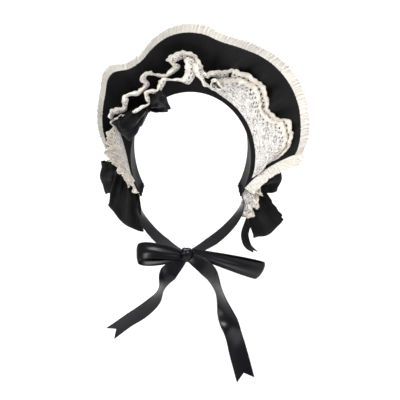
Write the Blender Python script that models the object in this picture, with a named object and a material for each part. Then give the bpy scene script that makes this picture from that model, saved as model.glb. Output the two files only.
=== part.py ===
"""A half bonnet, held in the shape that it has on a head.

A narrow cotton band arches over the head from ear to ear. It carries a stiffened brim with a wavy wired
edge and a gathered frill round it, two tiers of eyelet lace inside the brim, a satin bow, a cotton bow at
each ear, and a satin ribbon that ties under the chin.

Metres, +Z up. The front is towards -Y, and left and right are those of someone who looks at the front.
The origin is where the top of the band rests on the head.
"""

import math

import bmesh
import bpy
import numpy as np

for item in list(bpy.data.objects):
    bpy.data.objects.remove(item, do_unlink=True)

# Driving sizes
HEAD_HALF_WIDTH = 0.081
HEAD_RISE = 0.100
BAND_WALL = 0.002
BAND_DEPTH = 0.045
BAND_TIGHTEN = 0.0032
BAND_END_ANGLE = 34
BRIM_WALL = 0.0022
BRIM_WIDTH = 0.100
BRIM_CUP = 0.006
TRIM_WIDTH = 0.013
TRIM_WALL = 0.0014
TRIM_GATHER = 0.0016
LACE_WALL = 0.0012
LACE_SEAM_ROOM = 0.0013
COTTON_WALL = 0.0014
SATIN_WALL = 0.001
RIBBON_WIDTH = 0.025
CHIN_DROP = 0.208
CHIN_FORWARD = 0.069
CHIN_ASIDE = 0.006
CHIN_KNOT = 0.018
CHIN_LOOP_LEFT = 0.055
CHIN_LOOP_RIGHT = 0.100
CHIN_TAIL_LEFT = 0.134
CHIN_TAIL_RIGHT = 0.180
SATIN_BOW_LOOP = 0.048
SATIN_BOW_KNOT = 0.014
SIDE_BOW_LOOP = 0.068
SIDE_BOW_KNOT = 0.015
SIDE_BOW_TAIL = 0.112
LACE_END_REACH = 0.034
GAP = 0.0004

# The brim, one row per station of the arch: the angle round the head from the right, the width as a
# share of BRIM_WIDTH, and the angles at which the brim turns up and leans forward
BRIM = np.array([
    (-20, 0.88, 43, 19),
    (-12, 0.93, 44, 23),
    (-2, 0.97, 45, 26),
    (10, 1.00, 46, 27),
    (22, 1.00, 46, 25),
    (34, 1.00, 49, 22),
    (46, 1.00, 55, 20),
    (58, 1.00, 61, 21),
    (69, 1.00, 68, 23),
    (80, 1.00, 75, 23),
    (90, 1.00, 80, 18),
    (100, 1.00, 86, 16),
    (110, 1.00, 91, 18),
    (120, 0.98, 95, 23),
    (129, 0.96, 96, 26),
    (138, 0.97, 100, 26),
    (147, 1.01, 108, 21),
    (152, 1.00, 110, 20),
    (162, 0.96, 111, 23),
    (172, 0.94, 112, 24),
    (182, 0.92, 113, 24),
    (192, 0.88, 114, 24),
    (200, 0.82, 114, 25),
])

# The band's depth from front to back as a share of BAND_DEPTH, at angles round the head
BAND = np.array([
    (-BAND_END_ANGLE, 0.56),
    (0, 0.84),
    (45, 1.00),
    (135, 1.00),
    (180, 0.84),
    (180 + BAND_END_ANGLE, 0.56),
])

# The lace tiers, one row per fold: where the seam lies, as an angle and a share of BRIM_WIDTH from the
# root, then the same for the free edge, and how far the free edge stands forward as such a share
LACE_FRONT = np.array([
    (-17, 0.06, -16, 0.20, 0.06),
    (-12, 0.07, -10, 0.34, 0.07),
    (-7, 0.07, -4, 0.60, 0.08),
    (2, 0.07, 8, 0.66, 0.08),
    (11, 0.07, 17, 0.59, 0.08),
    (21, 0.07, 26, 0.39, 0.08),
    (31, 0.07, 35, 0.38, 0.08),
    (40, 0.07, 42, 0.47, 0.08),
    (49, 0.07, 50, 0.50, 0.08),
    (58, 0.07, 59, 0.45, 0.08),
    (67, 0.08, 67, 0.35, 0.09),
    (74, 0.10, 73, 0.25, 0.16),
    (80, 0.16, 80, 0.25, 0.22),
    (87, 0.24, 88, 0.40, 0.22),
    (93, 0.30, 94, 0.56, 0.19),
    (97, 0.26, 96, 0.40, 0.24),
    (103, 0.22, 102, 0.31, 0.26),
    (111, 0.25, 111, 0.42, 0.26),
    (117, 0.27, 118, 0.46, 0.26),
    (123, 0.25, 123, 0.38, 0.28),
    (129, 0.28, 129, 0.48, 0.28),
    (135, 0.26, 135, 0.35, 0.30),
    (143, 0.27, 143, 0.38, 0.30),
    (151, 0.31, 152, 0.46, 0.29),
    (159, 0.36, 160, 0.61, 0.25),
    (166, 0.32, 169, 0.65, 0.18),
    (173, 0.22, 180, 0.72, 0.17),
    (180, 0.12, 191, 0.78, 0.19),
    (187, 0.10, 201, 0.77, 0.20),
    (193, 0.09, 207, 0.60, 0.20),
    (200, 0.09, 210, 0.38, 0.17),
    (207, 0.09, 214, 0.22, 0.14),
])
LACE_BACK = np.array([
    (-13, 0.13, -13, 0.50, 0.035),
    (-7, 0.14, -8, 0.67, 0.04),
    (3, 0.14, 1, 0.76, 0.045),
    (13, 0.14, 14, 0.74, 0.045),
    (21, 0.14, 21, 0.54, 0.04),
    (29, 0.14, 29, 0.45, 0.04),
    (37, 0.14, 37, 0.54, 0.045),
    (46, 0.14, 46, 0.60, 0.045),
    (54, 0.14, 55, 0.58, 0.045),
    (62, 0.16, 63, 0.55, 0.04),
    (70, 0.20, 71, 0.46, 0.05),
    (77, 0.25, 78, 0.40, 0.12),
    (83, 0.32, 83, 0.44, 0.18),
    (89, 0.46, 89, 0.58, 0.16),
    (95, 0.58, 95, 0.70, 0.15),
    (101, 0.62, 101, 0.74, 0.14),
    (107, 0.57, 108, 0.71, 0.16),
    (110, 0.50, 110, 0.62, 0.19),
    (113, 0.44, 112, 0.53, 0.22),
    (119, 0.47, 119, 0.60, 0.22),
    (125, 0.56, 126, 0.74, 0.21),
    (131, 0.52, 131, 0.66, 0.24),
    (137, 0.47, 137, 0.60, 0.26),
    (144, 0.50, 144, 0.64, 0.25),
    (150, 0.47, 150, 0.60, 0.27),
    (156, 0.55, 156, 0.72, 0.25),
    (162, 0.60, 161, 0.80, 0.24),
])

# The end of the lace below the brim's right end, one row per fold: the seam's angle, the free edge's
# angle, its reach as a share of LACE_END_REACH, and how far it waves forward as such a share
LACE_END = np.array([
    (-23, -23, 0.66, 0.00),
    (-25, -26, 0.90, 0.10),
    (-27, -30, 0.72, -0.06),
    (-29, -36, 1.00, 0.10),
    (-31, -39, 0.84, -0.06),
    (-33, -42, 0.40, 0.08),
])

# A ribbon tail, one row per bend: along its length, sideways, forward and down from the knot as shares
# of its length, and the turn of its width about its run in degrees
TAIL_LEFT = np.array([
    (0.00, 0.00, 0.00, 0.00, 0),
    (0.15, -0.12, 0.05, 0.075, 10),
    (0.32, -0.195, 0.13, 0.21, 65),
    (0.45, -0.255, 0.19, 0.305, 50),
    (0.60, -0.37, 0.26, 0.385, 42),
    (0.78, -0.52, 0.33, 0.455, 45),
    (1.00, -0.70, 0.42, 0.55, 42),
])
TAIL_RIGHT = np.array([
    (0.00, 0.00, 0.00, 0.00, 0),
    (0.12, 0.115, 0.03, 0.06, -40),
    (0.27, 0.20, 0.07, 0.205, -80),
    (0.50, 0.27, 0.17, 0.405, -32),
    (0.60, 0.305, 0.22, 0.48, 5),
    (0.80, 0.36, 0.31, 0.65, -6),
    (1.00, 0.41, 0.40, 0.812, -6),
])
TAIL_SIDE = np.array([
    (0.00, 0.00, 0.00, 0.00, 0),
    (0.40, 0.03, 0.00, 0.40, 10),
    (0.70, -0.03, 0.01, 0.70, 0),
    (0.84, 0.01, 0.02, 0.83, -30),
    (1.00, 0.11, 0.03, 0.92, -60),
])


def material(name, colour, roughness, sheen=0.0):
    """A plain cloth material."""
    made = bpy.data.materials.new(name)
    made.use_nodes = True
    shader = made.node_tree.nodes["Principled BSDF"]
    shader.inputs["Base Color"].default_value = (*colour, 1)
    shader.inputs["Roughness"].default_value = roughness
    shader.inputs["Metallic"].default_value = 0
    shader.inputs["Sheen Weight"].default_value = sheen
    return made


COTTON = material("black_cotton", (0.011, 0.011, 0.012), 0.85, 0.2)
SATIN = material("black_satin", (0.010, 0.010, 0.013), 0.38)
IVORY = material("ivory_frill", (0.86, 0.82, 0.72), 0.80)
LACE = material("white_eyelet_lace", (0.86, 0.83, 0.78), 0.80)


def through(table, column, at):
    """Read a smooth curve through one column of a table, whose first column holds the stations. Its slope
    at a station is that of the table there."""
    x = table[:, 0]
    y = table[:, column]
    slope = np.gradient(y, x)
    at = np.clip(at, x[0], x[-1])
    piece = np.clip(np.searchsorted(x, at, side="right") - 1, 0, len(x) - 2)
    step = x[piece + 1] - x[piece]
    s = (at - x[piece]) / step
    rise = s * s * (3 - 2 * s)
    ends = y[piece] * (1 - rise) + y[piece + 1] * rise
    return ends + step * s * (1 - s) * ((1 - s) * slope[piece] - s * slope[piece + 1])


def unit(vectors):
    """Vectors scaled to length one."""
    vectors = np.asarray(vectors, float)
    return vectors / np.linalg.norm(vectors, axis=-1, keepdims=True)


def make_object(name, vertices, faces, look, sharp=40):
    """An object from vertices and faces, its faces turned outward and its round parts shaded smooth."""
    mesh = bpy.data.meshes.new(name)
    mesh.from_pydata([tuple(v) for v in vertices], [], [tuple(f) for f in faces])
    shape = bmesh.new()
    shape.from_mesh(mesh)
    bmesh.ops.recalc_face_normals(shape, faces=shape.faces)
    shape.to_mesh(mesh)
    shape.free()
    mesh.shade_smooth()
    mesh.set_sharp_from_angle(angle=math.radians(sharp))
    made = bpy.data.objects.new(name, mesh)
    made.data.materials.append(look)
    bpy.context.scene.collection.objects.link(made)
    return made


def grid_normals(middle, ring):
    """The unit normal of a sheet at each point of its grid, from the steps to the neighbouring points."""
    if ring:
        along = np.roll(middle, -1, 0) - np.roll(middle, 1, 0)
    else:
        along = np.gradient(middle, axis=0)
    return unit(np.cross(along, np.gradient(middle, axis=1)))


def cloth(name, middle, wall, look, ring=False):
    """A closed solid from a grid of points on a sheet's middle surface: half the wall to each side, and
    walled round its rim. A ring is closed on itself along the grid's first direction."""
    rows, columns = middle.shape[:2]
    offset = grid_normals(middle, ring) * wall / 2
    vertices = np.concatenate([(middle + offset).reshape(-1, 3), (middle - offset).reshape(-1, 3)])
    half = rows * columns
    faces = []
    for i in range(rows if ring else rows - 1):
        here = i * columns
        there = (i + 1) % rows * columns
        for j in range(columns - 1):
            faces.append((here + j, there + j, there + j + 1, here + j + 1))
            faces.append((half + here + j, half + here + j + 1, half + there + j + 1, half + there + j))
        last = columns - 1
        faces.append((here, half + here, half + there, there))
        faces.append((here + last, there + last, half + there + last, half + here + last))
    if not ring:
        for i, turn in ((0, 1), (rows - 1, -1)):
            for j in range(columns - 1):
                side = (i * columns + j, i * columns + j + 1)
                wall_face = (side[0], side[1], half + side[1], half + side[0])
                faces.append(wall_face[::turn])
    return make_object(name, vertices, faces, look)


def arch(angle, radial=0.0):
    """Points of the band's middle line at angles in degrees, moved out from the head by a distance."""
    turn = np.radians(angle)
    half_width = HEAD_HALF_WIDTH + BAND_WALL / 2 + radial
    rise = HEAD_RISE + BAND_WALL / 2 + radial
    return np.stack([half_width * np.cos(turn), 0 * turn, rise * np.sin(turn) - HEAD_RISE], -1)


def brim_surface(angle, share):
    """Points of the brim's middle surface: share 0 at the root on the band and 1 at the wired edge."""
    angle, share = np.broadcast_arrays(np.asarray(angle, float), np.asarray(share, float))
    width = BRIM_WIDTH * through(BRIM, 1, angle)
    turn = np.radians(through(BRIM, 2, angle))
    lean = np.radians(through(BRIM, 3, angle))
    out = np.stack([np.cos(lean) * np.cos(turn), -np.sin(lean), np.cos(lean) * np.sin(turn)], -1)
    back = np.stack([np.sin(lean) * np.cos(turn), np.cos(lean), np.sin(lean) * np.sin(turn)], -1)
    root = arch(angle) - np.array([0, BRIM_WALL / 2 + GAP, 0])
    cup = BRIM_CUP * 4 * share * (1 - share)
    return root + out * (width * share)[..., None] + back * cup[..., None]


def before_brim(angle, share, forward):
    """Points a share of BRIM_WIDTH out from the root, and a distance in front of the brim."""
    width = through(BRIM, 1, np.asarray(angle, float))
    points = brim_surface(angle, share / width)
    points[..., 1] -= forward
    return points


def band_surface(angle, share, radial=0.0):
    """Points of the band's middle surface: share 0 at the front edge and 1 at the back, which is a little
    tighter. They are moved out from the head by a distance."""
    points = arch(angle, radial - BAND_TIGHTEN * share ** 2)
    points[..., 1] += BAND_DEPTH * through(BAND, 1, angle) * share
    return points


def crown_band():
    """The band over the head: a short arched wall."""
    angles = np.linspace(-BAND_END_ANGLE, 180 + BAND_END_ANGLE, 37)
    rows = [band_surface(angles, share) for share in np.linspace(0, 1, 4)]
    return cloth("crown_band", np.stack(rows, 1), BAND_WALL, COTTON)


def brim():
    """The brim: one stiffened sheet from the band's front edge to the wired edge."""
    angles = np.linspace(BRIM[0, 0], BRIM[-1, 0], 61)
    shares = np.linspace(0, 1, 5)
    return cloth("brim", brim_surface(angles[:, None], shares[None, :]), BRIM_WALL, COTTON)


def rim_path():
    """The brim's rim from the right ear round to the left ear: its points, and the ways out from the
    rim and forward from the brim. Each corner has a fan of outward ways."""
    first, last = BRIM[0, 0], BRIM[-1, 0]
    side, fan, top = 19, 4, 101
    up = np.linspace(0.02, 1, side)
    across = np.linspace(first, last, top + 2)[1:-1]
    angle = np.concatenate([np.full(side + fan, first), across, np.full(side + fan, last)])
    share = np.concatenate([up, np.ones(fan + top + fan), up[::-1]])
    corner = np.radians(np.linspace(0, 90, fan + 2)[1:-1])
    turn = np.concatenate([0 * up, corner, np.full(top, np.pi / 2), corner[::-1], 0 * up])
    small = 0.01
    beside = np.clip(angle, first + small, last - small)
    along = unit(brim_surface(beside + small, share) - brim_surface(beside - small, share))
    outward = unit(brim_surface(angle, share) - brim_surface(angle, share - small))
    ahead = unit(np.cross(along, outward))
    ahead *= np.where(ahead[:, 1:2] > 0, -1, 1)
    end_way = along * np.where(angle < (first + last) / 2, -1, 1)[:, None]
    square = unit(end_way - outward * (end_way * outward).sum(-1, keepdims=True))
    way = square * np.cos(turn)[:, None] + outward * np.sin(turn)[:, None]
    return brim_surface(angle, share), way, ahead


def edge_trim():
    """The gathered frill: a strip outside the rim whose outer edge waves forward and back."""
    rim, way, ahead = rim_path()
    wave = np.where(np.arange(len(rim)) % 2 == 0, 1, -1)[:, None] * TRIM_GATHER / 2
    inner = rim + way * GAP * 2
    outer = rim + way * (GAP * 2 + TRIM_WIDTH) + ahead * wave
    return cloth("brim_edge_trim", np.stack([inner, outer], 1), TRIM_WALL, IVORY)


def ruffle(name, table, columns, seam_lift):
    """A lace tier: a sheet from its seam on the brim to a waved free edge. It rises from the seam with a
    bend, so the wall stays clear of the brim."""
    fold = np.arange(len(table))
    stations = np.column_stack([fold, table])
    at = np.linspace(0, fold[-1], columns)
    seam_angle, seam_out, edge_angle, edge_out, forward = (through(stations, k, at) for k in range(1, 6))
    rows = []
    for share in np.linspace(0, 1, 4):
        angle = seam_angle + (edge_angle - seam_angle) * share
        out = seam_out + (edge_out - seam_out) * share
        lift = seam_lift + (forward * BRIM_WIDTH - seam_lift) * math.sin(share * math.pi / 2)
        rows.append(before_brim(angle, out, lift))
    return cloth(name, np.stack(rows, 1), LACE_WALL, LACE)


def lace_tiers():
    """The two tiers: the back one is sewn close to the brim and the front one over it."""
    back_lift = BRIM_WALL / 2 + GAP + LACE_WALL / 2 + LACE_SEAM_ROOM
    front_lift = back_lift + LACE_WALL + GAP * 2
    ruffle("lace_ruffle_back", LACE_BACK, 79, back_lift)
    ruffle("lace_ruffle_front", LACE_FRONT, 94, front_lift)


def loop(name, root, tip, across, widths, depth, wall, look):
    """A ribbon loop: out from the knot to its tip and back, narrow at the root and hollow inside. Its
    width runs along across, which may be aslant to the run."""
    root, tip, side = np.asarray(root), np.asarray(tip), unit(across)
    run = tip - root
    bulge = unit(np.cross(run, side))
    u = np.linspace(0, 2 * math.pi, 14, endpoint=False)[:, None]
    v = np.linspace(-0.5, 0.5, 4)[None, :]
    share = (1 - np.cos(u)) / 2
    root_depth = 0.55
    width = widths[0] + (widths[1] - widths[0]) * np.sqrt(share)
    thick = depth / 2 * np.sin(u) * (root_depth + (1 - root_depth) * share)
    points = root + run * share[..., None] + bulge * thick[..., None] + side * (width * v)[..., None]
    return cloth(name, points, wall, look, ring=True)


def knot(name, centre, run, across, size, look):
    """A knot: a rounded, boxy block, with its length, width and depth."""
    run = unit(run)
    side = np.asarray(across, float)
    side = unit(side - run * (side @ run))
    deep = np.cross(run, side)
    shape = bmesh.new()
    bmesh.ops.create_uvsphere(shape, u_segments=12, v_segments=8, radius=1)
    square = 0.7
    for vertex in shape.verts:
        place = np.array(vertex.co)
        place = np.sign(place) * np.abs(place) ** square * np.asarray(size) / 2
        vertex.co = np.asarray(centre) + side * place[0] + deep * place[1] + run * place[2]
    vertices = [tuple(v.co) for v in shape.verts]
    faces = [tuple(v.index for v in f.verts) for f in shape.faces]
    shape.free()
    return make_object(name, vertices, faces, look)


def ribbon(name, points, across, widths, wall, look, notch=0.0):
    """A flat ribbon along points, with the way of its width and the width at each. A notch draws its middle
    line back towards the end, which makes a swallow tail."""
    along = unit(np.gradient(points, axis=0))
    across = unit(across - along * (across * along).sum(-1, keepdims=True))
    v = np.linspace(-0.5, 0.5, 3)
    middle = points[:, None, :] + across[:, None, :] * (v[None, :] * widths[:, None])[..., None]
    pull = np.linspace(0, 1, len(points)) ** 8
    middle[:, 1] -= along * (pull * notch)[:, None]
    return cloth(name, middle, wall, look)


def chin_point(aside=0.0, forward=0.0, down=0.0):
    """A point by the knot under the chin."""
    return np.array([aside - CHIN_ASIDE, -CHIN_FORWARD - forward, -CHIN_DROP - down])


def strap(name, side):
    """A ribbon from the band's end at one ear, along the jaw and under the chin to the knot."""
    angle = 90 - side * (90 + BAND_END_ANGLE)
    start = arch(np.array(float(angle)))
    down = unit(arch(np.array(angle - side * 1.0)) - start)
    start = start + down * (GAP * 2 + 0.05 * RIBBON_WIDTH) + np.array([0, RIBBON_WIDTH / 2, 0])
    end = chin_point(side * (CHIN_KNOT / 2 + GAP), -0.45 * CHIN_KNOT)
    first = start + down * 0.35 * HEAD_RISE + np.array([side * 0.22 * HEAD_HALF_WIDTH, 0, 0])
    second = end + np.array([side * 0.45 * HEAD_HALF_WIDTH, 0.20 * CHIN_FORWARD, 0.03 * CHIN_DROP])
    s = np.linspace(0, 1, 17)[:, None]
    points = start * (1 - s) ** 3 + first * 3 * s * (1 - s) ** 2 + second * 3 * s * s * (1 - s) + end * s ** 3
    gather = np.clip((s[:, 0] - 0.75) / 0.25, 0, 1)
    return ribbon(name, points, np.array([0.0, 1, 0]), RIBBON_WIDTH * (1 - 0.5 * gather), SATIN_WALL, SATIN)


def tail(name, table, length, root, face, wide=RIBBON_WIDTH, wall=SATIN_WALL, look=SATIN):
    """A free ribbon end that hangs from a knot, read from its table of bends. Face is the way it looks."""
    at = np.linspace(0, 1, 19)
    aside, ahead, down, twist = (through(table, k, at) for k in range(1, 5))
    points = root + np.stack([aside, -ahead, -down], -1) * length
    along = unit(np.gradient(points, axis=0))
    flat = unit(np.cross(along, face))
    lift = np.cross(flat, along)
    twist = np.radians(twist)[:, None]
    widths = wide * (1 - 0.35 * np.clip(1 - at / 0.15, 0, 1))
    across = flat * np.cos(twist) + lift * np.sin(twist)
    return ribbon(name, points, across, widths, wall, look, notch=0.4 * wide)


def lace_end():
    """The crumpled end of the lace, sewn outside the band between the brim's right end and the strap."""
    at = np.linspace(0, len(LACE_END) - 1, 16)
    table = np.column_stack([np.arange(len(LACE_END)), LACE_END])
    seam, edge, reach, wave = (through(table, k, at) for k in range(1, 5))
    first = BAND_WALL / 2 + GAP
    rows = []
    for share in np.linspace(0, 1, 4):
        turn = np.radians(seam + (edge - seam) * share)
        out = BAND_WALL / 2 + first + (LACE_END_REACH * reach - first) * share
        points = np.stack([(HEAD_HALF_WIDTH + out) * np.cos(turn), 0 * turn,
                           (HEAD_RISE + out) * np.sin(turn) - HEAD_RISE], -1)
        points[:, 1] = (0.11 - wave * share) * LACE_END_REACH
        rows.append(points)
    return cloth("lace_end_right", np.stack(rows, 1), LACE_WALL, LACE)


def satin_bow():
    """The satin bow at the upper left, its knot resting on the brim's root."""
    deep = 0.8 * SATIN_BOW_KNOT
    seat = before_brim(132.0, 0.11, BRIM_WALL / 2 + GAP * 2 + 0.78 * deep)
    run = unit([-0.56, -0.77, -0.27])
    knot("satin_bow_knot", seat, run, (0.5, 0, -0.8), (1.2 * SATIN_BOW_KNOT, deep, SATIN_BOW_KNOT), SATIN)
    hold = SATIN_BOW_KNOT / 2
    near, far = 0.4 * RIBBON_WIDTH, 1.35 * RIBBON_WIDTH
    left = seat + run * (hold + GAP * 4)
    loop("satin_bow_loop_left", left, left + run * SATIN_BOW_LOOP, (0.6, 0.1, -0.75), (near, far),
         0.3 * SATIN_BOW_LOOP, SATIN_WALL, SATIN)
    other = unit([0.62, -0.56, 0.52])
    right = seat + other * (hold - GAP)
    loop("satin_bow_loop_right", right, right + other * 0.66 * SATIN_BOW_LOOP, (0.42, 0.1, -0.85),
         (near, 0.92 * far), 0.3 * SATIN_BOW_LOOP, SATIN_WALL, SATIN)


def side_knot(name, angle, share):
    """The knot of a side bow on the band's outer face, a share of the band's depth back, and its middle."""
    place = band_surface(np.array(float(angle)), share, BAND_WALL / 2 + GAP + 0.5 * SIDE_BOW_KNOT)
    down = arch(np.array(angle + 1.0)) - arch(np.array(angle - 1.0))
    size = (1.1 * SIDE_BOW_KNOT, SIDE_BOW_KNOT, SIDE_BOW_KNOT)
    knot(name, place, down, (0, 1, 0), size, COTTON)
    return place


def side_loop(name, knot_middle, seat, way, across, shares):
    """A loop of a side bow. Its root stands seat away from the knot's middle, as a share of the knot's
    size, and its length, root width, end width and depth are shares of SIDE_BOW_LOOP."""
    way = unit(way)
    root = knot_middle + way * (seat * SIDE_BOW_KNOT + GAP * 2)
    length, near, far, depth = np.asarray(shares) * SIDE_BOW_LOOP
    loop(name, root, root + way * length, across, (near, far), depth, COTTON_WALL, COTTON)


def side_bows():
    """The two cotton bows, each with its knot on the band's outer face above the ear. Behind is a step
    back from the middle of a knot."""
    behind = np.array([0, 0.3 * SIDE_BOW_KNOT, 0])
    left = side_knot("side_bow_left_knot", 194, 0.44)
    side_loop("side_bow_left_loop_front", left - behind, 0.68,
              (-0.03, -0.34, -0.94), (0.79, -0.16, -0.58), (0.86, 0.42, 0.88, 0.24))
    side_loop("side_bow_left_loop_back", left + 0.5 * behind, 0.56,
              (-0.92, 0.10, -0.36), (0.08, 0.05, -0.98), (0.42, 0.34, 0.76, 0.18))
    right = side_knot("side_bow_right_knot", -27, 0.6)
    side_loop("side_bow_right_loop_upper", right + 1.4 * behind, 0.40,
              (0.88, 0.16, 0.12), (0.02, -0.10, 1.0), (0.56, 0.28, 0.70, 0.18))
    side_loop("side_bow_right_loop_lower", right, 0.62,
              (0.40, -0.10, -0.90), (0.82, 0.13, 0.55), (0.98, 0.34, 0.72, 0.21))
    side_tail(right + 1.4 * behind)


def side_tail(knot_middle):
    """The narrow cotton end that hangs behind the right bow, from under its knot."""
    root = knot_middle + np.array([0, 0, -0.5 * SIDE_BOW_KNOT - GAP])
    tail("side_bow_right_tail", TAIL_SIDE, SIDE_BOW_TAIL, root, np.array([0.1, -1, 0.3]),
         0.45 * RIBBON_WIDTH, COTTON_WALL, COTTON)


def chin_bow():
    """The knot, loops and tails of the ribbon under the chin."""
    knot("chin_knot", chin_point(), (1, 0, 0), (0, 0, 1), (1.1 * CHIN_KNOT, CHIN_KNOT, CHIN_KNOT), SATIN)
    hold = 0.55 * CHIN_KNOT + GAP * 4
    near, far = 0.45 * RIBBON_WIDTH, 1.1 * RIBBON_WIDTH
    left = chin_point(-hold, 0.3 * CHIN_KNOT, -0.15 * CHIN_KNOT)
    loop("chin_loop_left", left, left + unit([-0.97, -0.08, 0.10]) * CHIN_LOOP_LEFT, (0.05, -0.9, -0.42),
         (near, far), 0.38 * CHIN_LOOP_LEFT, SATIN_WALL, SATIN)
    right = chin_point(hold + 0.03 * RIBBON_WIDTH, 0.0, -0.15 * CHIN_KNOT)
    loop("chin_loop_right", right, right + unit([0.92, 0.13, -0.38]) * CHIN_LOOP_RIGHT, (0.40, 0.05, 0.87),
         (near, far), 0.13 * CHIN_LOOP_RIGHT, SATIN_WALL, SATIN)
    face = np.array([0.2, -0.75, 0.6])
    front = 0.5 * CHIN_KNOT + GAP * 3
    left_root = chin_point(-0.28 * RIBBON_WIDTH, front, 0.42 * CHIN_KNOT)
    right_root = chin_point(0.25 * RIBBON_WIDTH, front - GAP * 2, 0.1 * CHIN_KNOT)
    tail("chin_tail_left", TAIL_LEFT, CHIN_TAIL_LEFT, left_root, face)
    tail("chin_tail_right", TAIL_RIGHT, CHIN_TAIL_RIGHT, right_root, face)


crown_band()
brim()
edge_trim()
lace_tiers()
lace_end()
satin_bow()
side_bows()
strap("chin_strap_left", -1)
strap("chin_strap_right", 1)
chin_bow()
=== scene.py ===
# %% [markdown]
# # A half bonnet
# A half bonnet is a band that arches over the head from ear to ear, with a stiff brim that stands up in
# front of it. This one is black cotton with a gathered ivory edge, two tiers of white eyelet lace, a satin
# bow, a cotton bow at each ear and a satin ribbon under the chin. The plain solids of each piece are loaded
# first. Every piece below takes the place of one of them, in metres and in the same frame.

# %% Load the frame
import bpy
import numpy as np
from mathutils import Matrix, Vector


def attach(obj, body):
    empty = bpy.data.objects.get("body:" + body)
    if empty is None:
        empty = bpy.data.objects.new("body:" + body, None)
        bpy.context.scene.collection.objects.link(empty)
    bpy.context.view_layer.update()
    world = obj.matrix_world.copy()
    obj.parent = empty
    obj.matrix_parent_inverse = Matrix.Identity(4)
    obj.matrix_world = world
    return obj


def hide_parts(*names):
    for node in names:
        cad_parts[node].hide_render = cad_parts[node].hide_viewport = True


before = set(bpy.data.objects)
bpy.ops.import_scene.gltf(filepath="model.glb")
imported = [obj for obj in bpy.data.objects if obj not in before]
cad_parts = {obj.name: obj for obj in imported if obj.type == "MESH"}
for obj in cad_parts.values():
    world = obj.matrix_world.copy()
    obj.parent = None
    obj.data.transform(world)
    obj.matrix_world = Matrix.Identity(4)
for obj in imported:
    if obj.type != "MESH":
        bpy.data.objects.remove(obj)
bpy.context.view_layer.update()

print("pieces to dress:", len(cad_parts))

# %% [markdown]
# The bonnet's sizes come first, as a pattern cutter would write them down. The head is an arch, half as
# wide as HEAD_HALF_WIDTH and HEAD_RISE high, and everything else is measured from it. Lengths are metres.

# %% Sizes
HEAD_HALF_WIDTH = 0.081
HEAD_RISE = 0.100
BAND_WALL = 0.002
BAND_DEPTH = 0.045
BAND_TIGHTEN = 0.0032
BAND_END_ANGLE = 34
BRIM_WALL = 0.0022
BRIM_WIDTH = 0.100
BRIM_CUP = 0.006
FRILL_WIDTH = 0.013
RIBBON_WIDTH = 0.025
CHIN_DROP = 0.208
CHIN_FORWARD = 0.069
CHIN_ASIDE = 0.006
CHIN_KNOT = 0.018
CHIN_LOOP_LEFT = 0.055
CHIN_LOOP_RIGHT = 0.100
CHIN_TAIL_LEFT = 0.134
CHIN_TAIL_RIGHT = 0.180
SATIN_BOW_LOOP = 0.048
SATIN_BOW_KNOT = 0.014
SIDE_BOW_LOOP = 0.068
SIDE_BOW_KNOT = 0.015
SIDE_BOW_TAIL = 0.112
LACE_END_REACH = 0.034
GAP = 0.0004

# Angle round the head, width as a share of BRIM_WIDTH, and how far the brim turns up and leans forward
BRIM = np.array([
    (-20, 0.88, 43, 19), (-12, 0.93, 44, 23), (-2, 0.97, 45, 26), (10, 1.00, 46, 27), (22, 1.00, 46, 25),
    (34, 1.00, 49, 22), (46, 1.00, 55, 20), (58, 1.00, 61, 21), (69, 1.00, 68, 23), (80, 1.00, 75, 23),
    (90, 1.00, 80, 18), (100, 1.00, 86, 16), (110, 1.00, 91, 18), (120, 0.98, 95, 23), (129, 0.96, 96, 26),
    (138, 0.97, 100, 26), (147, 1.01, 108, 21), (152, 1.00, 110, 20), (162, 0.96, 111, 23),
    (172, 0.94, 112, 24), (182, 0.92, 113, 24), (192, 0.88, 114, 24), (200, 0.82, 114, 25),
])
# Angle round the head, and the band's depth as a share of BAND_DEPTH
BAND = np.array([(-34, 0.56), (0, 0.84), (45, 1.00), (135, 1.00), (180, 0.84), (214, 0.56)])
print("brim stations:", len(BRIM))

# %% [markdown]
# Cloth is a surface of two parameters: one runs along the piece and one across it. The helpers below read
# a smooth curve through a short table, turn a grid of points into a mesh, and hand the mesh to the frame.
# Each point also keeps how far along and across the cloth it lies. The finishes read that, so a weave
# follows the cloth round its folds instead of cutting through them.

# %% Curves and meshes
def through(table, column, at):
    """A smooth curve through a table's column: a cubic between stations, its slope at each station that
    of the table there."""
    x, y = table[:, 0], table[:, column]
    slope = np.gradient(y, x)
    at = np.clip(at, x[0], x[-1])
    piece = np.clip(np.searchsorted(x, at, side="right") - 1, 0, len(x) - 2)
    step = x[piece + 1] - x[piece]
    s = (at - x[piece]) / step
    rise = s * s * (3 - 2 * s)
    ends = y[piece] * (1 - rise) + y[piece + 1] * rise
    return ends + step * s * (1 - s) * ((1 - s) * slope[piece] - s * slope[piece + 1])


def unit(vectors):
    """Vectors divided by their length."""
    vectors = np.asarray(vectors, float)
    return vectors / np.maximum(np.linalg.norm(vectors, axis=-1, keepdims=True), 1e-12)


def lengths(points, axis):
    """The distance travelled along one direction of a grid, from its first row."""
    step = np.linalg.norm(np.diff(points, axis=axis), axis=-1)
    start = np.zeros_like(np.take(step, [0], axis=axis))
    return np.concatenate([start, np.cumsum(step, axis=axis)], axis=axis)


def normals(grid, ring=False):
    """The unit normal at each point of a grid: the cross product of the steps along and across."""
    along = np.roll(grid, -1, 0) - np.roll(grid, 1, 0) if ring else np.gradient(grid, axis=0)
    return unit(np.cross(along, np.gradient(grid, axis=1)))


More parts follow.
